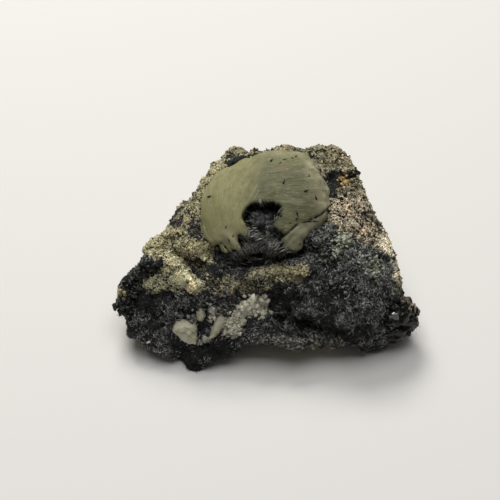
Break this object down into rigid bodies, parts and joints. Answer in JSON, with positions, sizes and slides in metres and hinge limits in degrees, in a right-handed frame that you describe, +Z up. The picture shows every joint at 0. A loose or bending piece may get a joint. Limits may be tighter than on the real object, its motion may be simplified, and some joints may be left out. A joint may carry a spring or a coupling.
{
  "type": "prehnite ball on matrix",
  "caption": "Hand specimen of dark needle-covered rock carrying a large sage-green fibrous prehnite ball, small pale crystals and black blocky crystal crusts.",
  "frame": {"origin": "middle of the specimen's footprint box, on the surface it rests on", "axes": "+X along the specimen's long side to its right, +Y to its back, +Z up; the ball faces up and to the front (-Y)"},
  "size_m": [0.0744, 0.0514, 0.0348],
  "materials": {
    "rock": "rough, granular, green-grey with dark needle felt",
    "prehnite": "waxy, slightly translucent, fibrous",
    "pale_prehnite": "waxy, pale",
    "needles": "silky needles",
    "black_crystal": "glossy facets"
  },
  "bodies": {
    "root": {"matrix": "rock", "prehnite_ball": "prehnite", "pocket_needles": "needles", "prehnite_bead_lower": "prehnite", "prehnite_bead_upper": "pale_prehnite", "prehnite_fan": "pale_prehnite", "prehnite_knob_right": "prehnite", "pale_crystal_middle": "pale_prehnite", "pale_crystal_right": "pale_prehnite", "black_crystals_right": "black_crystal", "black_crystals_left": "black_crystal"}
  },
  "joints": []
}
